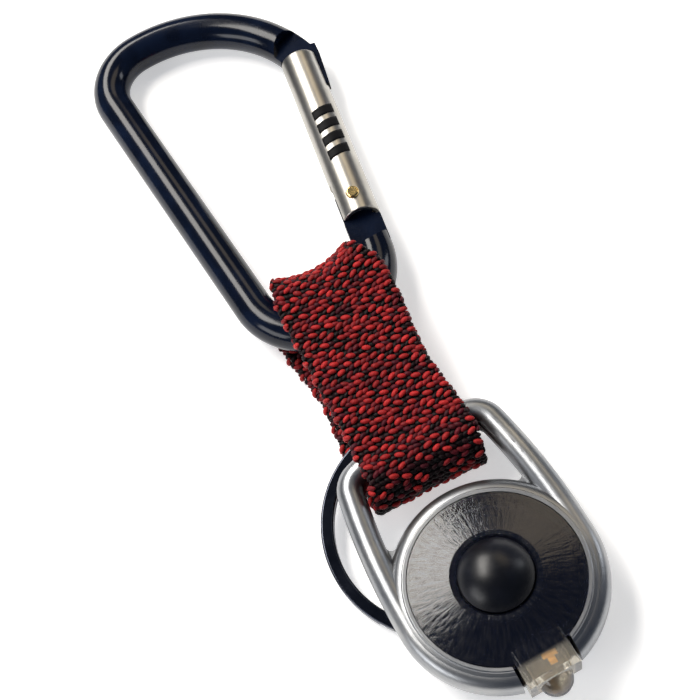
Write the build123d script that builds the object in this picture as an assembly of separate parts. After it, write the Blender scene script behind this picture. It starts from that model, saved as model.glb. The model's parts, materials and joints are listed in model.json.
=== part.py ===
"""Carabiner key light: a spring-gate carabiner, a webbing loop, a split key ring and a push-button LED light.

Millimetres. The pieces lie on a table at z = 0 and are laid out from the middle of the light's lens,
with +Y running up the webbing to the carabiner. The finished set is then moved so that the origin
is on the table under the middle of the whole object.
"""
import math
import os

from build123d import *

# --- light, plan sizes ---
COVER_R = 12.27
RING_OUTER_R = 15.35
RING_SLOT_R = 15.1
BORE_R = 12.0
COUNTERBORE_R = 12.4
BAIL_TOP_Y = 27.3
BAIL_TOP_ARC_R = 32.0
BAIL_SIDE_ARC_R = 102.0
BAIL_SIDE_START_Y = 2.0
BAIL_CORNER_R = 5.2
BAIL_WIDTH = 3.95
BUTTON_R = 5.25
BUTTON_HOLE_R = 5.38
CONE_TOP_R = 6.55
# --- light, heights ---
BACK_Z = 3.3
FLOOR_Z = 3.95
FRAME_Z0 = 4.6
FRAME_Z1 = 8.6
PLATE_Z1 = 6.3
RIM_Z = 9.0
CONE_Z = 10.3
BUTTON_TOP_Z = 13.1
LED_Z = 6.35
BUTTON_TRAVEL = 0.8
# --- light, inside ---
SKIRT_R = 11.85
CAVITY_R = 10.95
CELL_R = 10.0
CELL_T = 1.6
CELL_Y = 0.9
CELL_Z0 = 4.3
LED_R = 2.45
LED_FLANGE_R = 2.6
LED_BACK_Y = -9.3
LED_DOME_Y = -15.2
HOOD_HALF = 3.9
HOOD_FRONT_Y = -15.5
HOOD_TOP_Z = 9.5
NOTCH_HALF = 4.4
SCREW_PCR = 12.95
# --- webbing loop ---
WEB_T = 1.6
WEB_Z1 = 10.6
WEB_Y0 = 16.0
WEB_Y1 = 58.0
# --- split ring ---
KEY_RING_R = 16.9
KEY_RING_WIDTH = 1.9
KEY_RING_COIL_T = 0.9
KEY_RING_GAP = 0.1
KEY_RING_CENTRE = (-2.26, 13.57)
KEY_RING_CROSS_Z = WEB_T + 0.45
# --- carabiner, in its own plane: x across, y along the spine ---
ROD_R = 3.0
CARABINER_YAW = 3.8
CARABINER_ORIGIN = (-12.1, 89.6)
BAR_Z = WEB_Z1 / 2
TOP_Z = ROD_R
TOP_ARC_R = 21.7
TOP_CORNER_R = 8.0
TOP_Y = 21.2
BEND_R = 10.3
BEND_Y = -32.9
GATE_LEAN = 13.1
GATE_LENGTH = 32.9
GATE_R = 3.0
GATE_BORE_R = 2.35
RIVET_V = 3.2
RIVET_R = 0.75
RUNNING = 0.05
TONGUE_HALF_T = 1.0
SLOT_HALF_T = 1.2
LOWER_SLOT_V = 7.0
UPPER_SLOT_V = 25.5
NOSE_GAP = 0.3
CAM_V = 2.4
PLUNGER_GAP = 0.12


def at_z(shape, z):
    return Pos(0, 0, z) * shape


def disc(radius, z0, z1, x=0.0, y=0.0):
    return Pos(x, y, z0) * extrude(Circle(radius), z1 - z0)


def block(x0, x1, y0, y1, z0, z1):
    return Pos((x0 + x1) / 2, (y0 + y1) / 2, (z0 + z1) / 2) * Box(x1 - x0, y1 - y0, z1 - z0)


def revolved(points):
    """A solid turned about Z from a closed outline of (radius, z) points."""
    return revolve(Plane.XZ * make_face(Polyline(*points, close=True)), Axis.Z)


# ------------------------------------------------------------------ light
def bail_corner():
    """Centre of the corner arc that is tangent to both the side arc and the top arc."""
    side = Vector(RING_OUTER_R - BAIL_SIDE_ARC_R, BAIL_SIDE_START_Y)
    top = Vector(0, BAIL_TOP_Y - BAIL_TOP_ARC_R)
    r_side = BAIL_SIDE_ARC_R - BAIL_CORNER_R
    r_top = BAIL_TOP_ARC_R - BAIL_CORNER_R
    gap = top - side
    along = (gap.length**2 + r_side**2 - r_top**2) / (2 * gap.length)
    off = math.sqrt(r_side**2 - along**2)
    unit = gap.normalized()
    return side, top, side + unit * along + Vector(-unit.Y, unit.X) * off


def frame_outline():
    """Plan of the frame: a half circle below, two slightly bowed sides and a crowned top bar."""
    side, top, corner = bail_corner()
    side_end = side + (corner - side).normalized() * BAIL_SIDE_ARC_R
    top_start = top + (corner - top).normalized() * BAIL_TOP_ARC_R
    side_mid_y = (BAIL_SIDE_START_Y + side_end.Y) / 2
    side_mid = (side.X + math.sqrt(BAIL_SIDE_ARC_R**2 - (side_mid_y - side.Y) ** 2), side_mid_y)
    corner_mid = corner + ((side_end + top_start) * 0.5 - corner).normalized() * BAIL_CORNER_R
    right = [
        Line((RING_OUTER_R, 0), (RING_OUTER_R, BAIL_SIDE_START_Y)),
        ThreePointArc((RING_OUTER_R, BAIL_SIDE_START_Y), side_mid, (side_end.X, side_end.Y)),
        ThreePointArc((side_end.X, side_end.Y), (corner_mid.X, corner_mid.Y), (top_start.X, top_start.Y)),
    ]
    left = [edge.mirror(Plane.YZ) for edge in right]
    crown = ThreePointArc((top_start.X, top_start.Y), (0, BAIL_TOP_Y), (-top_start.X, top_start.Y))
    bottom = ThreePointArc((-RING_OUTER_R, 0), (0, -RING_OUTER_R), (RING_OUTER_R, 0))
    return make_face(Wire([*right, crown, *left, bottom]))


def bail_band():
    """Round-topped rod that follows the outline; it runs into the ring below with a crease."""
    outline = frame_outline()
    band = extrude(outline - offset(outline, -BAIL_WIDTH), FRAME_Z1 - PLATE_Z1 + 0.5)
    return at_z(fillet(band.faces().sort_by(Axis.Z)[-1].edges(), BAIL_WIDTH / 2 - 0.05), PLATE_Z1 - 0.5)


def ring_crest():
    """Convex ring round the cover, with a thin raised lip at its inner edge."""
    z0, outer_r = PLATE_Z1 - 0.6, RING_SLOT_R - 0.1
    profile = [
        Line((BORE_R - 0.3, z0), (outer_r, z0)),
        Line((outer_r, z0), (outer_r, z0 + 0.2)),
        ThreePointArc((outer_r, z0 + 0.2), (14.45, 7.95), (13.1, FRAME_Z1 + 0.15)),
        Line((13.1, FRAME_Z1 + 0.15), (12.95, RIM_Z)),
        Line((12.95, RIM_Z), (BORE_R - 0.3, RIM_Z)),
        Line((BORE_R - 0.3, RIM_Z), (BORE_R - 0.3, z0)),
    ]
    ring = revolve(Plane.XZ * make_face(Wire(profile)), Axis.Z)
    return fillet(ring.edges().filter_by(GeomType.CIRCLE).group_by(Axis.Z)[-1].sort_by(SortBy.RADIUS)[-1], 0.18)


def light_frame():
    """Nickel-plated frame: a ring round the lens and a bail whose top bar the webbing passes over."""
    outline = frame_outline()
    slot = offset(outline, -BAIL_WIDTH) - Circle(RING_SLOT_R)
    slot = slot.faces().sort_by(Axis.Y)[-1]
    slot = fillet(slot.vertices().group_by(Axis.Y)[0], 0.8)
    body = extrude(outline, PLATE_Z1 - FRAME_Z0)
    body = fillet(body.faces().sort_by(Axis.Z)[0].edges(), 1.0)
    body -= at_z(extrude(slot, 10), -1)
    body = fillet(body.faces().sort_by(Axis.Z)[0].inner_wires()[0].edges(), 0.9)
    body = at_z(body, FRAME_Z0) + bail_band() + ring_crest()
    body -= disc(BORE_R, 0, 20)
    body -= disc(COUNTERBORE_R, RIM_Z - 1.3, 20)
    body -= block(-NOTCH_HALF, NOTCH_HALF, -20, -9, 0, 20)
    for x, y in screw_places():
        body -= disc(0.62, 0, 7.2, x, y)
    return body


def screw_places():
    return [(SCREW_PCR * math.cos(a), SCREW_PCR * math.sin(a)) for a in (math.radians(t) for t in (90, 205, 335))]


def lens_cover():
    """Smoked cover: a shallow cone with a hole for the button, a skirt and a hood over the LED."""
    cover = revolved(
        [
            (BUTTON_HOLE_R, CONE_Z - 0.8),
            (BUTTON_HOLE_R, CONE_Z - 0.25),
            (BUTTON_HOLE_R + 0.35, CONE_Z + 0.1),
            (CONE_TOP_R - 0.2, CONE_Z + 0.1),
            (COVER_R, RIM_Z),
            (COVER_R, RIM_Z - 0.9),
            (SKIRT_R, RIM_Z - 1.25),
            (SKIRT_R, 5.55),
            (CAVITY_R, 5.55),
            (CAVITY_R, RIM_Z - 0.75),
            (CONE_TOP_R, CONE_Z - 0.8),
        ]
    )
    hood = block(-HOOD_HALF, HOOD_HALF, HOOD_FRONT_Y, -10.0, FRAME_Z0, HOOD_TOP_Z)
    hood = fillet(hood.edges().filter_by(Axis.Y).group_by(Axis.Z)[-1], 0.6)
    cover += hood
    cover -= block(1 - HOOD_HALF, HOOD_HALF - 1, HOOD_FRONT_Y + 0.9, -9.0, 3, HOOD_TOP_Z - 0.45)
    cover -= Pos(0, HOOD_FRONT_Y, LED_Z) * Rot(90, 0, 0) * Cylinder(LED_R + 0.05, 4)
    return cover


def back_shell():
    """Back cover: a dished disc under the frame ring with a low wall inside the ring."""
    shell = disc(14.1, BACK_Z, FRAME_Z0 - 0.03)
    shell = fillet(shell.edges().group_by(Axis.Z)[0], 0.5)
    shell += disc(SKIRT_R, FRAME_Z0 - 0.1, 5.25)
    shell -= disc(CAVITY_R, FLOOR_Z, 6)
    shell -= block(-3.3, 3.3, HOOD_FRONT_Y, -8.5, 3.7, 6)
    shell -= led_bay(FRAME_Z0 - 0.05, 6)
    for x, y in screw_places():
        shell -= disc(0.65, 0, 8, x, y)
        shell -= disc(1.0, 0, BACK_Z + 0.55, x, y)
    return shell


def shell_screws():
    """Three countersunk screws from the back shell into the frame."""
    screws = []
    for x, y in screw_places():
        screw = disc(0.95, BACK_Z + 0.05, BACK_Z + 0.5, x, y) + disc(0.6, BACK_Z + 0.5, 7.0, x, y)
        screws.append(screw - block(x - 0.7, x + 0.7, y - 0.12, y + 0.12, 3, BACK_Z + 0.25))
    return Compound(screws)


def led_bay(z0, z1):
    """Room round the LED and the hood, cut from the round pieces."""
    return block(-HOOD_HALF - 0.15, HOOD_HALF + 0.15, -16, LED_BACK_Y + 0.15, z0, z1)


def seal_ring():
    return disc(SKIRT_R - 0.1, 5.27, 5.53) - disc(CAVITY_R + 0.1, 5, 6) - led_bay(5, 6)


def battery_holder():
    """Moulded tray that keeps the two cells against the LED, with a window for the contact."""
    holder = disc(CAVITY_R - 0.05, FLOOR_Z + 0.02, 7.5)
    holder -= disc(CELL_R + 0.08, CELL_Z0 - 0.05, 9, 0, CELL_Y)
    holder -= block(-5.6, 2.1, -7.7, 2.6, 3, 5)
    holder -= block(-2.4, 0, -10, -7.6, 3, 5)
    return holder - led_bay(3, 9)


def coin_cell(z0):
    can = disc(CELL_R, z0, z0 + CELL_T - 0.02, 0, CELL_Y)
    return fillet(can.edges().group_by(Axis.Z)[-1], 0.35)


def negative_contact():
    """Bent strip under the lower cell that meets the LED's cathode lead."""
    strip = block(-5.5, 2.0, -2.5, 2.5, FLOOR_Z + 0.05, CELL_Z0 - 0.03)
    return strip + block(-5.5, -1.7, -7.6, -2.5, FLOOR_Z + 0.05, CELL_Z0 - 0.03)


def insulator_disc():
    return disc(CAVITY_R - 0.6, 7.53, 7.7) - disc(3.2, 7, 8) - led_bay(7, 8)


def led_leads():
    """The LED's two legs and, inside the bulb, the post and the cup with the chip."""
    post = block(0.35, 0.95, -11.6, LED_BACK_Y, LED_Z - 0.25, LED_Z + 0.25)
    post += Pos(0.65, -11.9, LED_Z) * Rot(90, 0, 0) * Cylinder(0.85, 0.9)
    anode = block(0.35, 0.95, LED_BACK_Y, LED_BACK_Y + 0.12, LED_Z - 0.25, 7.95)
    anode += block(0.35, 0.95, LED_BACK_Y, 0.9, 7.78, 7.95)
    return post + anode


def led_cathode_lead():
    post = block(-0.95, -0.35, -11.4, LED_BACK_Y, LED_Z - 0.25, LED_Z + 0.25)
    leg = block(-0.95, -0.35, LED_BACK_Y, LED_BACK_Y + 0.12, 4.02, LED_Z + 0.25)
    return post + leg + block(-2.3, -0.35, LED_BACK_Y, -7.7, 4.02, 4.2)


def led_bulb():
    """Clear 5 mm LED lying along Y, its dome past the front of the hood."""
    length = LED_BACK_Y - LED_DOME_Y
    turn = Rot(90, 0, 0)
    bulb = Pos(0, LED_BACK_Y - length / 2, LED_Z) * turn * Cylinder(LED_R, length)
    bulb += Pos(0, LED_BACK_Y - 0.5, LED_Z) * turn * Cylinder(LED_FLANGE_R, 1.0)
    bulb += Pos(0, LED_DOME_Y, LED_Z) * Sphere(LED_R)
    return bulb - led_leads() - led_cathode_lead()


def button_cap():
    """Domed push button with a flange under the cover and a short stem in the middle."""
    straight = CONE_Z + 0.2
    rise = BUTTON_TOP_Z - straight
    sphere_r = (BUTTON_R**2 + rise**2) / (2 * rise)
    dome = Pos(0, 0, BUTTON_TOP_Z - sphere_r) * Sphere(sphere_r)
    dome &= disc(BUTTON_R, straight - 0.01, 20)
    cap = dome + disc(BUTTON_R, 9.0, straight)
    cap += disc(6.5, 8.9, 9.4)
    cap -= disc(4.6, 8.5, 9.6)
    return cap + disc(1.2, 8.35, 9.7)


def button_spring():
    """Two-turn coil that lifts the button back up."""
    path = Helix(pitch=0.38, height=0.6, radius=4.3)
    start = Plane(origin=path @ 0, z_dir=path % 0)
    return at_z(sweep(start * Circle(0.1), path), 8.12)


# ------------------------------------------------------------------ webbing loop
def strap_plan():
    """Plan of the webbing: 18 mm wide at the light, 16 to 17 mm along its run, 13 mm inside the carabiner."""
    left = [(-9.5, WEB_Y0 - 1), (-8.9, 19.0), (-8.3, 23.0), (-8.0, 30.0), (-7.7, 42.0), (-7.5, 51.0)]
    left += [(-6.6, 54.4), (-6.2, WEB_Y1 + 1)]
    right = [(7.0, WEB_Y1 + 1), (6.8, 54.4), (9.3, 52.3), (9.8, 50.0), (9.4, 45.0), (8.5, 39.0)]
    right += [(8.2, 32.0), (8.7, 24.0), (9.0, 19.0)]
    return make_face(Polyline(*left, *right, (9.1, WEB_Y0 - 1), close=True))


def stadium(y0, y1, z0, z1):
    """Flat loop outline in the YZ plane, with half-round ends."""
    radius = (z1 - z0) / 2
    shape = SlotCenterToCenter(y1 - y0 - 2 * radius, 2 * radius)
    return Plane.YZ * Pos((y0 + y1) / 2, (z0 + z1) / 2) * shape


def strap_webbing():
    outer = extrude(stadium(WEB_Y0, WEB_Y1, 0, WEB_Z1), 12, both=True)
    inner = stadium(WEB_Y0 + WEB_T, WEB_Y1 - WEB_T, WEB_T, WEB_Z1 - WEB_T)
    loop = outer - extrude(inner, 12, both=True)
    return loop & at_z(extrude(strap_plan(), 20), -5)


def strap_stitching():
    """Bar tacks that close the loop, on the inner face of its back layer."""
    rows = [block(-4.0, 6.6, y, y + 0.45, WEB_T, WEB_T + 0.2) for y in (34.0, 35.4, 36.8, 38.2)]
    return Compound(rows)


# ------------------------------------------------------------------ split ring
def coil_arc(z0, start, sweep_angle):
    """One flat coil of the ring, as an arc of rectangular wire."""
    inner = KEY_RING_R - KEY_RING_WIDTH
    section = Plane.XZ * Pos((inner + KEY_RING_R) / 2, z0 + KEY_RING_COIL_T / 2)
    wire = section * RectangleRounded(KEY_RING_WIDTH, KEY_RING_COIL_T, 0.3)
    return Rot(0, 0, start) * revolve(wire, Axis.Z, sweep_angle)


def key_ring():
    """Split ring of two flat coils joined at one place, tilted where it crosses the webbing."""
    upper_z = KEY_RING_COIL_T + KEY_RING_GAP
    ring = coil_arc(0, 215, 356) + coil_arc(upper_z, 223, 356)
    ring += coil_arc(KEY_RING_COIL_T / 2, 214, 11) & disc(KEY_RING_R, 0.2, 2)
    run = 2 * KEY_RING_R
    tilt = math.degrees(math.asin(KEY_RING_CROSS_Z / run))
    x, y = KEY_RING_CENTRE
    return Pos(x, y, KEY_RING_CROSS_Z / 2) * Rot(tilt, 0, 0) * ring


# ------------------------------------------------------------------ carabiner
def gate_lower_end():
    """Point on the gate's axis at its lower end, in the carabiner's plane."""
    lean = math.radians(GATE_LEAN)
    tangent = Vector(BEND_R + BEND_R * math.cos(lean), BEND_Y - BEND_R * math.sin(lean))
    return tangent + Vector(math.sin(lean), math.cos(lean)) * 5.8


def gate_place():
    """Location whose X points out of the carabiner and whose Y runs up the gate."""
    foot = gate_lower_end()
    return Pos(foot.X, foot.Y, 0) * Rot(0, 0, -GATE_LEAN)


def along_gate(radius, v0, v1):
    return Pos(0, (v0 + v1) / 2, 0) * Rot(90, 0, 0) * Cylinder(radius, v1 - v0)


def rod_path():
    lean = math.radians(GATE_LEAN)
    top_centre_y = TOP_Y - TOP_ARC_R
    nose_angle = math.radians(1.0)
    mid_angle = (nose_angle + math.pi / 2) / 2
    corner_y = TOP_Y - TOP_CORNER_R
    diagonal = TOP_CORNER_R * math.sqrt(0.5)
    leg_end = (gate_place() * Pos(0, 1.0, 0)).position
    bend_end = (BEND_R + BEND_R * math.cos(lean), BEND_Y - BEND_R * math.sin(lean))

    def on_top(angle):
        return (TOP_CORNER_R + TOP_ARC_R * math.cos(angle), top_centre_y + TOP_ARC_R * math.sin(angle))

    return Wire(
        [
            ThreePointArc(on_top(nose_angle), on_top(mid_angle), (TOP_CORNER_R, TOP_Y)),
            ThreePointArc(
                (TOP_CORNER_R, TOP_Y), (TOP_CORNER_R - diagonal, corner_y + diagonal), (0, corner_y)
            ),
            Line((0, corner_y), (0, BEND_Y)),
            ThreePointArc((0, BEND_Y), (BEND_R, BEND_Y - BEND_R), bend_end),
            Line(bend_end, (leg_end.X, leg_end.Y)),
        ]
    )


def lower_tongue():
    """Flat tongue in the gate's lower end; its round end stays clear of the plunger as the gate turns."""
    foot = Polyline(
        (-2.9, -5.6), (-2.9, 4.4), (-1.9, 4.9), (-1.5, 4.9), (-1.5, 3.2), (1.85, 3.2), (1.9, -0.3), (2.9, -0.7),
        (2.9, -5.6), close=True,
    )
    rivet = Pos(0, RIVET_V)
    cam = Polyline((-1.9, 0), (-1.9, 6), (0.6, 6), (1.8, RIVET_V + 0.6), (1.8, 0), close=True)
    plate = make_face(foot) + (make_face(cam) & rivet * Circle(CAM_V)) + rivet * Circle(1.95)
    return extrude(plate, TONGUE_HALF_T, both=True)


def milled(x, v, radius):
    """Both faces of the rod milled down to the tongue's thickness by a round cutter."""
    cutter = Cylinder(radius, 10) - Cylinder(radius + 1, 2 * TONGUE_HALF_T)
    return gate_place() * Pos(x, v, 0) * cutter


def nose_tongue():
    """Flat tongue of the nose: it fills the gate's top slot and shows as a lip outside it."""
    outline = Polyline(
        (-1.85, 35.2), (-1.85, 30.4), (2.0, 26.2), (3.3, 26.0), (3.62, 32.4), (3.5, 34.6), close=True
    )
    return extrude(make_face(outline), TONGUE_HALF_T, both=True)


def carabiner_body():
    path = rod_path()
    rod = sweep(Plane(origin=path @ 0, z_dir=path % 0) * Circle(ROD_R), path)
    place = gate_place()
    rod -= place * block(-9, 9, 20, GATE_LENGTH + NOSE_GAP, -5, 5)
    rod -= milled(1.2, GATE_LENGTH + NOSE_GAP, 4.9)
    rod -= milled(-1.2, 0.6, 6.2)
    rod -= place * Pos(0, RIVET_V, 0) * Cylinder(4.6, 10)
    body = rod + place * lower_tongue() + place * nose_tongue()
    body -= place * Pos(0, RIVET_V, 0) * Cylinder(RIVET_R, 10)
    return body


def gate_tube():
    """Satin tube, slotted inside at its lower end and outside at its top end for the two tongues."""
    tube = along_gate(GATE_R, 0, GATE_LENGTH)
    tube = fillet(tube.edges().group_by(Axis.Y)[-1], 0.4)
    tube = fillet(tube.edges().group_by(Axis.Y)[0], 0.2)
    tube -= along_gate(GATE_BORE_R, -1, 20.5)
    tube -= along_gate(GATE_BORE_R, 22.5, 40)
    tube -= block(-4, 0, -1, LOWER_SLOT_V, -SLOT_HALF_T, SLOT_HALF_T)
    tube -= block(0, 4, UPPER_SLOT_V, 40, -SLOT_HALF_T, SLOT_HALF_T)
    tube -= Pos(0, RIVET_V, 0) * Cylinder(RIVET_R + RUNNING, 10)
    return gate_place() * tube


def gate_rivet():
    rivet = Cylinder(RIVET_R, 2 * (GATE_R + 0.05))
    for side in (-1, 1):
        head = disc(1.05, GATE_R + 0.04, GATE_R + 0.42)
        head = fillet(head.edges().group_by(Axis.Z)[-1], 0.3)
        rivet += head if side > 0 else head.mirror(Plane.XY)
    return gate_place() * Pos(0, RIVET_V, 0) * rivet


def gate_plunger():
    foot = RIVET_V + CAM_V + PLUNGER_GAP
    return gate_place() * (along_gate(GATE_BORE_R - 0.1, foot, foot + 2.6) + along_gate(1.2, foot, foot + 5.0))


def gate_spring():
    """Compression coil between the plunger's shoulder and the web inside the tube."""
    wire_r = 0.22
    foot = RIVET_V + CAM_V + PLUNGER_GAP + 2.6 + wire_r + 0.05
    path = Helix(pitch=1.2, height=20.5 - foot - wire_r - 0.05, radius=1.8)
    coil = sweep(Plane(origin=path @ 0, z_dir=path % 0) * Circle(wire_r), path)
    return gate_place() * Pos(0, foot, 0) * Rot(-90, 0, 0) * coil


def carabiner_place():
    """The carabiner lies on the table at its top and is held up by the webbing at its lower bar."""
    bar_local = Vector(BEND_R, BEND_Y - BEND_R)
    pitch = math.degrees(math.asin((BAR_Z - TOP_Z) / (TOP_Y - bar_local.Y)))
    x, y = CARABINER_ORIGIN
    z = BAR_Z + bar_local.Y * math.sin(math.radians(pitch))
    return Pos(x, y, z) * Rot(0, 0, CARABINER_YAW) * Rot(-pitch, 0, 0)


def assembly():
    """Every node by name, before the move to the final origin."""
    hook = carabiner_place()
    return {
        "carabiner_body": hook * carabiner_body(),
        "gate_rivet": hook * gate_rivet(),
        "gate_tube": hook * gate_tube(),
        "gate_spring": hook * gate_spring(),
        "gate_plunger": hook * gate_plunger(),
        "strap_webbing": strap_webbing(),
        "strap_stitching": strap_stitching(),
        "key_ring": key_ring(),
        "light_frame": light_frame(),
        "lens_cover": lens_cover(),
        "back_shell": back_shell(),
        "shell_screws": shell_screws(),
        "seal_ring": seal_ring(),
        "battery_holder": battery_holder(),
        "coin_cell_lower": coin_cell(CELL_Z0),
        "coin_cell_upper": coin_cell(CELL_Z0 + CELL_T),
        "negative_contact": negative_contact(),
        "insulator_disc": insulator_disc(),
        "led_bulb": led_bulb(),
        "led_anode_lead": led_leads(),
        "led_cathode_lead": led_cathode_lead(),
        "button_cap": button_cap(),
        "button_spring": button_spring(),
    }


def main():
    os.makedirs("parts", exist_ok=True)
    nodes = assembly()
    box = Compound([s for shape in nodes.values() for s in shape.solids()]).bounding_box()
    shift = Vector(-box.center().X, -box.center().Y, -box.min.Z)
    for name, shape in nodes.items():
        solids = (Pos(shift) * shape).solids()
        export_step(solids[0] if len(solids) == 1 else Compound(solids), f"parts/{name}.step")
    print("box", box.size, "shift", shift)
    hook = Pos(shift) * carabiner_place()
    rivet = (hook * gate_place() * Pos(0, RIVET_V, 0)).position
    up = hook * gate_place() * Pos(0, 1, 0)
    gate_dir = up.position - (hook * gate_place()).position
    normal = (hook * Pos(0, 0, 1)).position - hook.position
    bar = (hook * Pos(BEND_R, BEND_Y - BEND_R, 0)).position
    print("rivet", rivet, "gate_dir", gate_dir, "normal", normal, "bar", bar)


main()
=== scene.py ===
"""Looks of the carabiner key light: materials for the CAD parts, and mesh work for the braided webbing, its
seam, the springs and the small trim. The frame is the CAD model's, in metres, and MM is one millimetre of it."""

import json
import math
import random

import bmesh
import bpy
from mathutils import Matrix, Vector


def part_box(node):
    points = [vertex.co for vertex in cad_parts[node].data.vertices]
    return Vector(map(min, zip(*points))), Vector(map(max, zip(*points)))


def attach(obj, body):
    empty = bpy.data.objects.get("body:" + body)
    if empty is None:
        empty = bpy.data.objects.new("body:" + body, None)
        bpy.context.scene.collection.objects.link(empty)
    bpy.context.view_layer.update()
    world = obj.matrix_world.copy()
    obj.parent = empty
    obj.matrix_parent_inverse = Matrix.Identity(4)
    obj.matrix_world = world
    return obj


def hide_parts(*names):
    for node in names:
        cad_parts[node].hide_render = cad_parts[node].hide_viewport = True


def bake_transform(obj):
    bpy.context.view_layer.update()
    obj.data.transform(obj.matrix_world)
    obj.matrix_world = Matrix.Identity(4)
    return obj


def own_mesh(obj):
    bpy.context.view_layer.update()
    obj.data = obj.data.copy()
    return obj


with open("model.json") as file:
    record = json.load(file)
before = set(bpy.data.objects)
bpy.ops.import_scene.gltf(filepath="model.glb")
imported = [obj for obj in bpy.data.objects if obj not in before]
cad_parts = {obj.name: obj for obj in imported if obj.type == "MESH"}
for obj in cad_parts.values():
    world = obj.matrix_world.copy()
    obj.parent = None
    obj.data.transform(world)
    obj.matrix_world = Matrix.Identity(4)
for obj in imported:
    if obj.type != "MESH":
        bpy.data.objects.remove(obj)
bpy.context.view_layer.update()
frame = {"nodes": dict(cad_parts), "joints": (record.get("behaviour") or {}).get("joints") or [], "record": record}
JOINTS = {joint["name"]: joint for joint in frame["joints"]}
MM = 0.001


# ------------------------------------------------------------------ places taken from the frame
BUTTON_LOW, BUTTON_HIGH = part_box("button_cap")
LENS_Z = 9.0
LENS = Vector(((BUTTON_LOW.x + BUTTON_HIGH.x) / 2, (BUTTON_LOW.y + BUTTON_HIGH.y) / 2, LENS_Z * MM))
LED_AXIS_Z = 6.35 * MM
GATE_AXIS_UP = Vector(JOINTS["plunger_slide"]["axis"]).normalized()
CARABINER_NORMAL = Vector(JOINTS["gate_hinge"]["axis"]).normalized()
RIVET = Vector(JOINTS["gate_hinge"]["pos_m"])


def in_scene(name, data):
    """New object with the given data, linked to the scene."""
    thing = bpy.data.objects.new(name, data)
    bpy.context.scene.collection.objects.link(thing)
    return thing


def finished(name, bm, material):
    """New object from a finished bmesh, with one material."""
    mesh = bpy.data.meshes.new(name)
    bm.to_mesh(mesh)
    bm.free()
    mesh.materials.append(material)
    return in_scene(name, mesh)


def between(low, high, share):
    return low + (high - low) * share


# ------------------------------------------------------------------ camera, light and floor
def aim(thing, target, roll=0.0):
    """Turns a camera or light towards a point, then rolls it about its own view axis."""
    direction = Vector(target) - thing.location
    thing.rotation_mode = "QUATERNION"
    turn = Matrix.Rotation(roll, 4, "Z").to_quaternion()
    thing.rotation_quaternion = direction.to_track_quat("-Z", "Y") @ turn


def make_camera():
    azimuth, elevation, distance = math.radians(-10.5), math.radians(63.5), 0.2411
    target = LENS + Vector((-1.07, 40.69, 0)) * MM
    level = math.cos(elevation)
    back = Vector((math.sin(azimuth) * level, -math.cos(azimuth) * level, math.sin(elevation)))
    camera = in_scene("camera", bpy.data.cameras.new("camera"))
    camera.data.lens = 84.9
    camera.data.sensor_width = 36
    camera.data.clip_start = 0.01
    camera.location = target + back * distance
    aim(camera, target, math.radians(-19.44))
    bpy.context.scene.camera = camera


def softbox(name, direction, long_axis, distance, size, radiance, colour=(1, 1, 1)):
    """Rectangular light seen from the lens along a direction; size is (length along long_axis, width)."""
    back = Vector(direction).normalized()
    along = Vector(long_axis)
    along = (along - back * along.dot(back)).normalized()
    light = bpy.data.lights.new(name, "AREA")
    light.shape = "RECTANGLE"
    light.size_y, light.size = size
    light.energy = radiance * math.pi * size[0] * size[1]
    light.color = colour
    thing = in_scene(name, light)
    turn = Matrix((along.cross(back), along, back)).transposed()
    thing.matrix_world = Matrix.Translation(LENS + back * distance) @ turn.to_4x4()


def make_lights():
    softbox("key_softbox", (-0.22, 0.62, 0.75), (-0.39, -0.58, 0.34), 0.9, (0.80, 0.30), 13.0,
            (1.0, 0.96, 0.90))
    softbox("side_softbox", (-0.93, -0.15, 0.42), (0, 0, 1), 0.9, (0.30, 0.5), 5.0)
    softbox("warm_softbox", (0.50, 0.50, 0.70), (0.3, -0.6, 0.3), 0.9, (0.55, 0.25), 2.0, (1.0, 0.84, 0.60))
    softbox("right_strip", (0.93, 0.1, 0.42), (0, 0, 1), 0.9, (0.30, 0.16), 5.0, (0.93, 0.96, 1.0))
    world = bpy.data.worlds.new("studio")
    world.use_nodes = True
    world.node_tree.nodes["Background"].inputs["Color"].default_value = (0.55, 0.68, 1.0, 1)
    world.node_tree.nodes["Background"].inputs["Strength"].default_value = 0.10
    bpy.context.scene.world = world
    bpy.context.scene.view_settings.view_transform = "Standard"


def make_floor():
    bpy.ops.mesh.primitive_plane_add(size=6, location=(0, 0, -0.00002))
    floor = bpy.context.object
    floor.name = "floor"
    material = bpy.data.materials.new("pale_floor")
    material.use_nodes = True
    shader = material.node_tree.nodes["Principled BSDF"]
    shader.inputs["Base Color"].default_value = (0.93, 0.93, 0.93, 1)
    shader.inputs["Roughness"].default_value = 0.9
    shader.inputs["Specular IOR Level"].default_value = 0.1
    shader.inputs["Emission Color"].default_value = (1, 1, 1, 1)
    shader.inputs["Emission Strength"].default_value = 0.5
    floor.data.materials.append(material)


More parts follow.
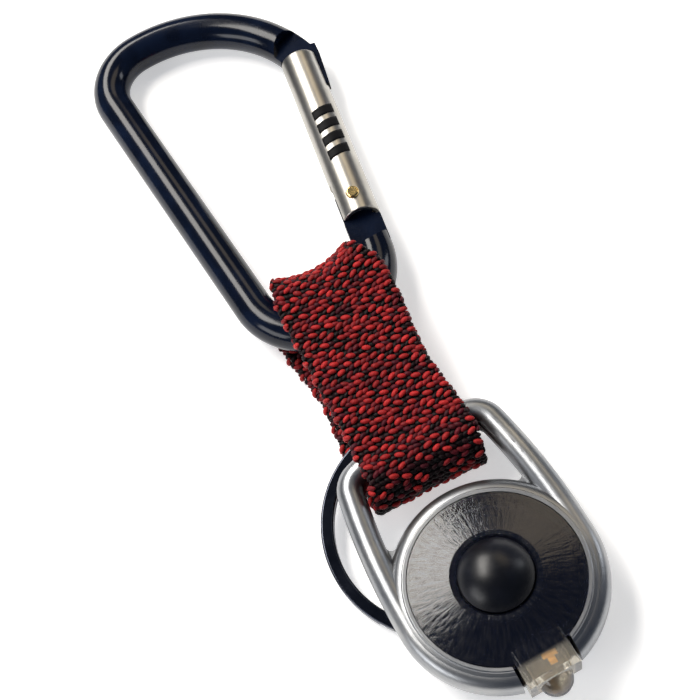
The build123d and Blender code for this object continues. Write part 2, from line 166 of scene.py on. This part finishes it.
# ------------------------------------------------------------------ materials
class Nodes:
    """Small helper that adds and links shader nodes."""

    def __init__(self, name):
        self.material = bpy.data.materials.new(name)
        self.material.use_nodes = True
        self.tree = self.material.node_tree
        self.shader = self.tree.nodes["Principled BSDF"]

    def add(self, kind, **values):
        node = self.tree.nodes.new(kind)
        for key, value in values.items():
            if hasattr(node, key):
                setattr(node, key, value)
            else:
                node.inputs[key.replace("_", " ")].default_value = value
        return node

    def link(self, source, output, target, socket):
        self.tree.links.new(source.outputs[output], target.inputs[socket])

    def set(self, **values):
        for key, value in values.items():
            self.shader.inputs[key.replace("_", " ")].default_value = value
        return self

    def coords(self, scale=(1, 1, 1)):
        """Object coordinates, which are the CAD frame's, scaled along each axis."""
        place = self.add("ShaderNodeTexCoord")
        mapping = self.add("ShaderNodeMapping", Scale=scale)
        self.link(place, "Object", mapping, "Vector")
        return mapping

    def noise(self, scale, detail=4.0, stretch=(1, 1, 1)):
        noise = self.add("ShaderNodeTexNoise", Scale=scale, Detail=detail)
        self.link(self.coords(stretch), "Vector", noise, "Vector")
        return noise

    def spread(self, source, output, low, high):
        """Maps a 0 to 1 value onto low to high."""
        ramp = self.add("ShaderNodeMapRange", To_Min=low, To_Max=high)
        self.link(source, output, ramp, "Value")
        return ramp

    def two_colours(self, source, output, first, second, at=(0.4, 0.6)):
        ramp = self.add("ShaderNodeValToRGB")
        for element, place, colour in zip(ramp.color_ramp.elements, at, (first, second)):
            element.position = place
            element.color = (*colour, 1)
        self.link(source, output, ramp, "Fac")
        self.link(ramp, "Color", self.shader, "Base Color")
        return ramp

    def rough(self, noise, low, high):
        self.link(self.spread(noise, "Fac", low, high), "Result", self.shader, "Roughness")

    def bump(self, source, output, strength, depth):
        bump = self.add("ShaderNodeBump", Strength=strength, Distance=depth)
        self.link(source, output, bump, "Height")
        self.link(bump, "Normal", self.shader, "Normal")


def metal(name, dark, light, rough, grain=900.0, stretch=(1, 1, 1), bump=0.00002, **more):
    """Metal with a fine grain: two near colours, a roughness band and a shallow bump."""
    made = Nodes(name).set(Metallic=1.0, **more)
    fine = made.noise(grain, 6.0, stretch)
    broad = made.noise(120.0, 2.0)
    made.two_colours(broad, "Fac", dark, light)
    made.rough(fine, *rough)
    made.bump(fine, "Fac", 0.35, bump)
    return made.material


def plastic(name, dark, light, rough, bump=0.00001, grain=1500.0, **more):
    made = Nodes(name).set(**more)
    fine = made.noise(grain, 4.0)
    made.two_colours(made.noise(200.0, 2.0), "Fac", dark, light)
    made.rough(fine, *rough)
    made.bump(fine, "Fac", 0.25, bump)
    return made.material


def smoke_plastic():
    """Smoked clear plastic with turning marks round the button; the thin hood over the LED is paler."""
    made = Nodes("smoke_plastic").set(IOR=1.46, Transmission_Weight=0.85, Specular_IOR_Level=0.38)
    place = made.add("ShaderNodeTexCoord")
    parts = made.add("ShaderNodeSeparateXYZ")
    centred = made.add("ShaderNodeMapping", Location=(-LENS.x, -LENS.y, 0))
    made.link(place, "Object", centred, "Vector")
    made.link(centred, "Vector", parts, "Vector")
    angle = made.add("ShaderNodeMath", operation="ARCTAN2")
    made.link(parts, "Y", angle, 0)
    made.link(parts, "X", angle, 1)
    distance = made.add("ShaderNodeVectorMath", operation="LENGTH")
    made.link(centred, "Vector", distance, 0)
    polar = made.add("ShaderNodeCombineXYZ")
    made.link(angle, "Value", polar, "X")
    made.link(distance, "Value", polar, "Y")
    stretch = made.add("ShaderNodeMapping", Scale=(5.0, 260.0, 1.0))
    made.link(polar, "Vector", stretch, "Vector")
    streaks = made.add("ShaderNodeTexNoise", Scale=4.0, Detail=5.0)
    made.link(stretch, "Vector", streaks, "Vector")
    hood = made.add("ShaderNodeMapRange", From_Min=-0.0119, From_Max=-0.0127)
    made.link(parts, "Y", hood, "Value")
    smoke = made.add("ShaderNodeValToRGB")
    stops = ((0.35, (0.018, 0.026, 0.062)), (0.65, (0.050, 0.054, 0.082)))
    for element, (stop, colour) in zip(smoke.color_ramp.elements, stops):
        element.position = stop
        element.color = (*colour, 1)
    made.link(streaks, "Fac", smoke, "Fac")
    mix = made.add("ShaderNodeMix", data_type="RGBA")
    mix.inputs[7].default_value = (0.86, 0.80, 0.68, 1)
    made.tree.links.new(hood.outputs["Result"], mix.inputs[0])
    made.tree.links.new(smoke.outputs["Color"], mix.inputs[6])
    made.tree.links.new(mix.outputs[2], made.shader.inputs["Base Color"])
    made.rough(streaks, 0.02, 0.34)
    made.bump(streaks, "Fac", 0.7, 0.00008)
    return made.material


def clear_epoxy():
    made = Nodes("clear_epoxy").set(Transmission_Weight=1.0, IOR=1.52)
    made.two_colours(made.noise(300.0, 2.0), "Fac", (0.86, 0.88, 0.9), (0.97, 0.97, 0.96))
    made.rough(made.noise(700.0, 3.0), 0.02, 0.09)
    return made.material


def yarn(name, dark, light, sheen):
    """Twisted polyester yarn: fine fibre streaks in colour and bump."""
    made = Nodes(name).set(Sheen_Weight=sheen, Sheen_Roughness=0.4, Specular_IOR_Level=0.35)
    fibres = made.noise(2600.0, 5.0)
    made.two_colours(fibres, "Fac", dark, light, (0.3, 0.7))
    made.rough(made.noise(1200.0, 3.0), 0.5, 0.75)
    made.bump(fibres, "Fac", 0.6, 0.00006)
    return made.material


def make_materials():
    return {
        "dark_anodised": plastic("dark_anodised", (0.0022, 0.0042, 0.012), (0.004, 0.008, 0.022),
                                 (0.10, 0.20), grain=2200.0, bump=0.000006, Specular_IOR_Level=0.27),
        "satin_silver": metal("satin_silver", (0.40, 0.385, 0.35), (0.47, 0.455, 0.42), (0.28, 0.40),
                              grain=1600.0, bump=0.00001),
        "brass": metal("brass", (0.70, 0.50, 0.20), (0.86, 0.68, 0.34), (0.12, 0.25)),
        "black_nickel": metal("black_nickel", (0.03, 0.035, 0.05), (0.06, 0.065, 0.085), (0.12, 0.22),
                              bump=0.000005, Coat_Weight=0.4),
        "satin_nickel": metal("satin_nickel", (0.27, 0.28, 0.295), (0.35, 0.355, 0.36), (0.30, 0.42),
                              grain=2600.0, bump=0.00002),
        "smoke_plastic": smoke_plastic(),
        "black_plastic": plastic("black_plastic", (0.0030, 0.0035, 0.006), (0.006, 0.007, 0.012),
                                 (0.26, 0.40), Specular_IOR_Level=0.35),
        "clear_epoxy": clear_epoxy(),
        "lead_metal": metal("lead_metal", (0.80, 0.50, 0.16), (0.95, 0.68, 0.30), (0.2, 0.35)),
        "cell_steel": metal("cell_steel", (0.55, 0.54, 0.50), (0.68, 0.67, 0.63), (0.22, 0.4), grain=700.0,
                            stretch=(1, 6, 1)),
        "spring_steel": metal("spring_steel", (0.4, 0.4, 0.41), (0.55, 0.55, 0.56), (0.2, 0.35)),
        "tray_plastic": plastic("tray_plastic", (0.02, 0.02, 0.024), (0.035, 0.035, 0.04), (0.5, 0.65)),
        "film": plastic("film", (0.10, 0.10, 0.11), (0.14, 0.14, 0.15), (0.35, 0.5)),
        "seal_rubber": plastic("seal_rubber", (0.012, 0.012, 0.012), (0.02, 0.02, 0.02), (0.7, 0.85)),
        "black_yarn": yarn("black_yarn", (0.004, 0.003, 0.005), (0.012, 0.008, 0.012), 0.1),
        "ink": plastic("ink", (0.003, 0.003, 0.004), (0.006, 0.006, 0.007), (0.5, 0.65),
                       Specular_IOR_Level=0.12),
        # Painted glow: the amber plate's emission stands in for light, though the LED is not lit.
        "amber": metal("amber", (0.92, 0.50, 0.10), (1.0, 0.66, 0.22), (0.3, 0.45),
                       Emission_Color=(1.0, 0.5, 0.12, 1), Emission_Strength=0.35),
        "reflector": plastic("reflector", (0.62, 0.52, 0.38), (0.78, 0.70, 0.56), (0.3, 0.45)),
    }


def dress_cad_nodes(materials):
    """Gives every CAD node the material of its slot."""
    slots = {part["node"]: part["material_slot"] for part in frame["record"]["subparts"]}
    swap = {"webbing": "black_yarn", "thread": "black_yarn"}
    for name, node in frame["nodes"].items():
        slot = slots[name]
        node.data.materials.clear()
        node.data.materials.append(materials[swap.get(slot, slot)])


# ------------------------------------------------------------------ braided webbing
# Left and right edges of the webbing's two layers, as (y, left, right) in mm from the lens centre: at the
# light's fold, past it, at the waist, at the flare beside the carabiner and at the carabiner's bar.
FRONT_EDGES = ((14, -9.4, 7.6), (21, -8.4, 8.7), (33, -7.9, 8.0), (50, -7.4, 9.8), (58.5, -5.4, 6.4))
BACK_EDGES = ((14, -9.2, 7.8), (27, -9.2, 8.5), (39, -8.1, 8.4), (50, -9.3, 9.0), (58.5, -5.6, 6.4))
# Middle line of the loop: its two ends, the radius of its bends and the height of their centres, in mm.
LOOP_Y0, LOOP_Y1, LOOP_R, LOOP_MID_Z = 16.8, 57.2, 4.5, 5.52
WEB_HALF_WIDTH, WEB_HALF_THICKNESS = 8.6, 0.46
ROWS, COLUMNS = 108, 19
YARN_CORNERS = 7


def along_table(table, y):
    """Left and right edge at y, smoothly joined between the table's rows."""
    for low, high in zip(table, table[1:]):
        if y <= high[0] or high is table[-1]:
            part = min(max((y - low[0]) / (high[0] - low[0]), 0), 1)
            part = part * part * (3 - 2 * part)
            return tuple(a + (b - a) * part for a, b in zip(low[1:], high[1:]))


def loop_point(turn):
    """Middle line of the loop in the YZ plane: turn 0 to 1 runs up the front, round, and back below."""
    run, bend = LOOP_Y1 - LOOP_Y0 - 2 * LOOP_R, math.pi * LOOP_R
    s = (turn % 1) * 2 * (run + bend)
    if s < run:
        return LOOP_Y0 + LOOP_R + s, LOOP_MID_Z + LOOP_R, math.pi / 2
    if s < run + bend:
        angle = math.pi / 2 - (s - run) / LOOP_R
        centre = LOOP_Y1 - LOOP_R
    elif s < 2 * run + bend:
        return LOOP_Y1 - LOOP_R - (s - run - bend), LOOP_MID_Z - LOOP_R, -math.pi / 2
    else:
        angle = -math.pi / 2 - (s - 2 * run - bend) / LOOP_R
        centre = LOOP_Y0 + LOOP_R
    return centre + LOOP_R * math.cos(angle), LOOP_MID_Z + LOOP_R * math.sin(angle), angle


def strap_frame(turn, across, lift):
    """Point on the webbing: across is -1 to 1 from edge to edge, lift is out of its middle surface (mm)."""
    y, z, angle = loop_point(turn)
    front = (z - LOOP_MID_Z + LOOP_R) / (2 * LOOP_R)
    layers = zip(along_table(FRONT_EDGES, y), along_table(BACK_EDGES, y))
    edges = [upper * front + lower * (1 - front) for upper, lower in layers]
    x = (edges[0] + edges[1]) / 2 + across * (edges[1] - edges[0]) / 2
    rise = min(max((y - 44) / 12, 0), 1)
    sag = 1.6 * ((x - 0.8) / 6.0) ** 2 - 1.3
    y += rise * rise * min(sag, 0.9)
    fold = min(max((24 - y) / 6, 0), 1)
    y += fold * (1.35 - 0.10 * max(x, 0))
    y += math.cos(angle) * lift
    z += math.sin(angle) * lift
    return LENS + Vector((x, y, z - LENS_Z)) * MM


def strap_surface(turn, column, face, lift):
    """Point at a column of the weave. face is 1 on the outside of the loop, -1 on its inside."""
    half = WEB_HALF_THICKNESS
    side = 2 * (column + 0.5) / COLUMNS - 1
    reach = WEB_HALF_WIDTH + (math.pi / 2 - 1) * half
    along = side * reach
    flat = reach - math.pi / 2 * half
    if abs(along) <= flat:
        across, normal = along, (0, face)
    else:
        angle = (abs(along) - flat) / half
        sign = 1 if along > 0 else -1
        across = sign * (flat + half * math.sin(angle))
        normal = (sign * math.sin(angle), face * math.cos(angle))
    height = half * normal[1] if abs(along) > flat else half * face
    return strap_frame(turn, (across + normal[0] * lift) / WEB_HALF_WIDTH, height + normal[1] * lift)


def pick(bm, layer, centre, along, out, size, shade):
    """One short float of yarn: a pinched capsule lying along a direction."""
    side = out.cross(along).normalized()
    rings = []
    length, width, height = size
    for share, bulge in ((-0.98, 0.30), (-0.72, 0.76), (-0.28, 1.0), (0.28, 1.0), (0.72, 0.76), (0.98, 0.30)):
        ring = []
        for corner in range(YARN_CORNERS):
            angle = math.tau * corner / YARN_CORNERS
            offset = side * (math.cos(angle) * width * bulge) + out * (math.sin(angle) * height * bulge)
            bow = out * (height * 0.35 * (1 - share * share))
            ring.append(bm.verts.new(centre + along * (share * length) + offset + bow))
        rings.append(ring)
    faces = [bm.faces.new(list(reversed(rings[0]))), bm.faces.new(rings[-1])]
    for first, second in zip(rings, rings[1:]):
        for corner in range(YARN_CORNERS):
            after = (corner + 1) % YARN_CORNERS
            faces.append(bm.faces.new((first[corner], first[after], second[after], second[corner])))
    for face in faces:
        face.smooth = True
        for loop in face.loops:
            loop[layer] = shade


def strap_core(bm, layer):
    """Dark body under the floats: a rounded band swept round the loop."""
    rings = []
    steps = 160
    points = [(column, 1) for column in range(COLUMNS)]
    points += [(column, -1) for column in reversed(range(COLUMNS))]
    for step in range(steps):
        turn = step / steps
        rings.append([bm.verts.new(strap_surface(turn, column, face, -0.12)) for column, face in points])
    for index, first in enumerate(rings):
        second = rings[(index + 1) % steps]
        for corner in range(len(points)):
            after = (corner + 1) % len(points)
            face = bm.faces.new((first[corner], second[corner], second[after], first[after]))
            face.smooth = True
            for loop in face.loops:
                loop[layer] = (0.0, 0.2, 0, 1)


def is_red(row, column):
    """Reds come in leaning pairs, row by row to the right and then to the left."""
    phase = row % 4
    place = column - (0, 1, 2, 1)[phase]
    return place % 3 == 0


def braided_strap():
    bm = bmesh.new()
    layer = bm.loops.layers.float_color.new("yarn")
    strap_core(bm, layer)
    rng = random.Random(7)
    for face in (1, -1):
        for row in range(ROWS):
            half_step = 0.5 if row % 4 > 1 else 0.0
            lean = math.radians(-20 if row % 4 < 2 else 20)
            for column in range(COLUMNS):
                turn = (row + rng.uniform(-0.12, 0.12)) / ROWS
                place = column + half_step - 0.25 + rng.uniform(-0.1, 0.1)
                here = strap_surface(turn, place, face, 0.0)
                ahead = strap_surface(turn + 0.0015, place, face, 0.0)
                beside = strap_surface(turn, place + 0.12, face, 0.0)
                out = (beside - here).cross(ahead - here).normalized() * face
                angle = lean + rng.uniform(-0.16, 0.16)
                along = ((beside - here).normalized() * math.cos(angle)
                         + (ahead - here).normalized() * math.sin(angle)).normalized()
                # Painted shade: near the light's fold, where the webbing bends down under the bar, fewer red and
                # maroon floats are chosen, so the yarn there is mostly black. This share runs from 0 at the fold
                # to 1 eight millimetres past it.
                past_painted_fold_shade = min(max((here.y - LENS.y - 17.5 * MM) / (8 * MM), 0.0), 1.0)
                chance = rng.random()
                if is_red(row, column) and chance > 0.06 + 0.55 * (1 - past_painted_fold_shade):
                    tone, glow = rng.uniform(0.84, 1.0), rng.uniform(0.35, 1.0)
                elif chance < 0.40 * (0.4 + 0.6 * past_painted_fold_shade):
                    tone, glow = rng.uniform(0.35, 0.75), rng.uniform(0.2, 0.9)
                else:
                    tone, glow = rng.uniform(0.0, 0.12), rng.uniform(0.1, 0.9)
                big = 1.0 if tone > 0.8 else (0.95 if tone > 0.2 else 0.88)
                length = rng.uniform(0.66, 0.78) * MM * big
                width = rng.uniform(0.37, 0.42) * MM * big
                size = (length, width, 0.32 * MM * big)
                lift = 0.12 if tone > 0.8 else (0.0 if tone > 0.2 else -0.12)
                pick(bm, layer, here + out * lift * MM, along, out, size, (tone, glow, rng.random(), 1))
    bm.normal_update()
    strap = finished("braided_strap", bm, braid_material())
    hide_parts("strap_webbing")
    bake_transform(strap)


SEAM_Z = 1.98


def seam_threads(material):
    """Zigzag bar tacks that close the webbing loop, on the inner face of its back layer."""
    bm = bmesh.new()
    layer = bm.loops.layers.float_color.new("yarn")
    for tack in range(4):
        for stitch in range(22):
            lean = math.radians(62 if stitch % 2 else -62)
            centre = LENS + Vector((-4.0 + 0.5 * stitch, 34.2 + 1.4 * tack, SEAM_Z - LENS_Z)) * MM
            along = Vector((math.cos(lean), math.sin(lean), 0))
            pick(bm, layer, centre, along, Vector((0, 0, 1)), (0.42 * MM, 0.13 * MM, 0.11 * MM), (0, 0, 0, 1))
    threads = finished("seam_threads", bm, material)
    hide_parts("strap_stitching")
    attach(threads, "strap")


def braid_material():
    """Yarn colour from the float it belongs to, with fibre streaks and worn, lighter crowns."""
    made = Nodes("braid_yarn").set(Sheen_Weight=0.04, Sheen_Roughness=0.4, Specular_IOR_Level=0.2)
    tone = made.add("ShaderNodeAttribute", attribute_name="yarn")
    parts = made.add("ShaderNodeSeparateColor")
    made.link(tone, "Color", parts, "Color")
    ramp = made.add("ShaderNodeValToRGB")
    colours = ((0.0, (0.0030, 0.0010, 0.0020)), (0.45, (0.075, 0.004, 0.012)), (1.0, (0.50, 0.022, 0.022)))
    ramp.color_ramp.elements.new(0.45)
    for element, (place, colour) in zip(ramp.color_ramp.elements, colours):
        element.position = place
        element.color = (*colour, 1)
    made.link(parts, "Red", ramp, "Fac")
    fibres = made.noise(3200.0, 5.0)
    streak = made.spread(fibres, "Fac", 0.35, 1.35)
    lit = made.add("ShaderNodeMath", operation="MULTIPLY")
    made.link(streak, "Result", lit, 0)
    level = made.spread(parts, "Green", 0.40, 1.25)
    made.link(level, "Result", lit, 1)
    shade = made.add("ShaderNodeVectorMath", operation="SCALE")
    made.link(ramp, "Color", shade, 0)
    made.tree.links.new(lit.outputs[0], shade.inputs["Scale"])
    made.link(shade, "Vector", made.shader, "Base Color")
    made.rough(made.noise(1400.0, 3.0), 0.42, 0.7)
    made.bump(fibres, "Fac", 0.6, 0.00006)
    return made.material


# ------------------------------------------------------------------ small trim
def sheet_piece(name, corners, body, material, thickness):
    """A thin curved sheet from a grid of points, given some thickness."""
    mesh = bpy.data.meshes.new(name)
    rows, columns = len(corners), len(corners[0])
    points = [point for row in corners for point in row]
    faces = [
        (r * columns + c, r * columns + c + 1, (r + 1) * columns + c + 1, (r + 1) * columns + c)
        for r in range(rows - 1)
        for c in range(columns - 1)
    ]
    mesh.from_pydata(points, [], faces)
    piece = in_scene(name, mesh)
    solid = piece.modifiers.new("thickness", "SOLIDIFY")
    solid.thickness = thickness
    solid.offset = 0
    for polygon in mesh.polygons:
        polygon.use_smooth = True
    mesh.materials.append(material)
    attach(piece, body)


def gate_marks(material):
    """Plain printed bars on the gate, wrapped on the tube's outer surface."""
    out = CARABINER_NORMAL
    side = GATE_AXIS_UP.cross(out).normalized()
    radius = 3.03 * MM
    for index, along in enumerate((7.6, 10.3, 13.0, 15.7)):
        grid = []
        for step in range(17):
            angle = math.radians(-26 + 72 * step / 16)
            slant = 0.9 * (step / 16 - 0.5)
            row = []
            for part in range(5):
                up = (along + slant + 1.75 * part / 4) * MM
                outward = out * math.cos(angle) + side * math.sin(angle)
                row.append(RIVET + GATE_AXIS_UP * up + outward * radius)
            grid.append(row)
        sheet_piece(f"gate_mark_{index + 1}", grid, "gate", material, 0.03 * MM)


def led_point(radius, angle, y):
    """Point on a tube round the LED's axis."""
    return Vector((LENS.x + radius * math.cos(angle), y, LED_AXIS_Z + radius * math.sin(angle)))


def led_reflector(material):
    """Pale trough under the LED, seen through the hood."""
    grid = []
    for step in range(25):
        angle = math.radians(188 + 164 * step / 24)
        row = []
        for part in range(9):
            share = part / 8
            radius = (2.62 + 0.12 * share) * MM
            y = LENS.y + (-11.2 - 3.9 * share) * MM
            row.append(led_point(radius, angle, y))
        grid.append(row)
    sheet_piece("led_reflector", grid, "light", material, 0.08 * MM)


def led_flag(material):
    """Amber lead-frame plate over the bulb, seen through the hood: a wide head and a narrow stem. Its amber
    material glows with painted light, though the LED is not lit.
    """
    radius = 2.58 * MM
    plates = (("led_flag_head", (46, 98), (-12.1, -12.9)), ("led_flag_stem", (62, 86), (-12.8, -14.0)))
    for name, span, reach in plates:
        grid = []
        for step in range(9):
            angle = math.radians(between(*span, step / 8))
            row = []
            for part in range(3):
                row.append(led_point(radius, angle, LENS.y + between(*reach, part / 2) * MM))
            grid.append(row)
        sheet_piece(name, grid, "light", material, 0.06 * MM)


def coil(name, node, foot, axis, length, radius, wire, turns, material):
    """Closed helical wire that stands for a CAD spring."""
    up = Vector(axis).normalized()
    side = up.orthogonal().normalized()
    front = up.cross(side)
    steps, corners = turns * 28, 8
    bm = bmesh.new()
    rings = []
    for step in range(steps + 1):
        angle = math.tau * turns * step / steps
        out = side * math.cos(angle) + front * math.sin(angle)
        centre = Vector(foot) + up * (length * step / steps) + out * radius
        ring = []
        for corner in range(corners):
            roll = math.tau * corner / corners
            ring.append(bm.verts.new(centre + (out * math.cos(roll) + up * math.sin(roll)) * wire))
        rings.append(ring)
    for first, second in zip(rings, rings[1:]):
        for corner in range(corners):
            after = (corner + 1) % corners
            bm.faces.new((first[corner], first[after], second[after], second[corner])).smooth = True
    bm.faces.new(list(reversed(rings[0])))
    bm.faces.new(rings[-1])
    bmesh.ops.recalc_face_normals(bm, faces=bm.faces)
    piece = finished(name, bm, material)
    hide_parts(node)
    return piece


def springs(material):
    """Helical coils stand for the gate's and the button's springs; the gate's rides with the gate and the button's
    with the light.
    """
    foot = RIVET + GATE_AXIS_UP * 5.39 * MM
    gate = coil("gate_coil", "gate_spring", foot, GATE_AXIS_UP, 11.6 * MM, 1.8 * MM, 0.22 * MM, 10, material)
    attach(gate, "gate")
    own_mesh(gate)
    foot = LENS + Vector((0, 0, -0.87)) * MM
    button = coil("button_coil", "button_spring", foot, (0, 0, 1), 0.56 * MM, 4.3 * MM, 0.1 * MM, 2, material)
    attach(button, "light")
    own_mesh(button)


make_camera()
make_floor()
make_lights()
MATERIALS = make_materials()
dress_cad_nodes(MATERIALS)
braided_strap()
seam_threads(MATERIALS["black_yarn"])
gate_marks(MATERIALS["ink"])
led_reflector(MATERIALS["reflector"])
led_flag(MATERIALS["amber"])
springs(MATERIALS["spring_steel"])
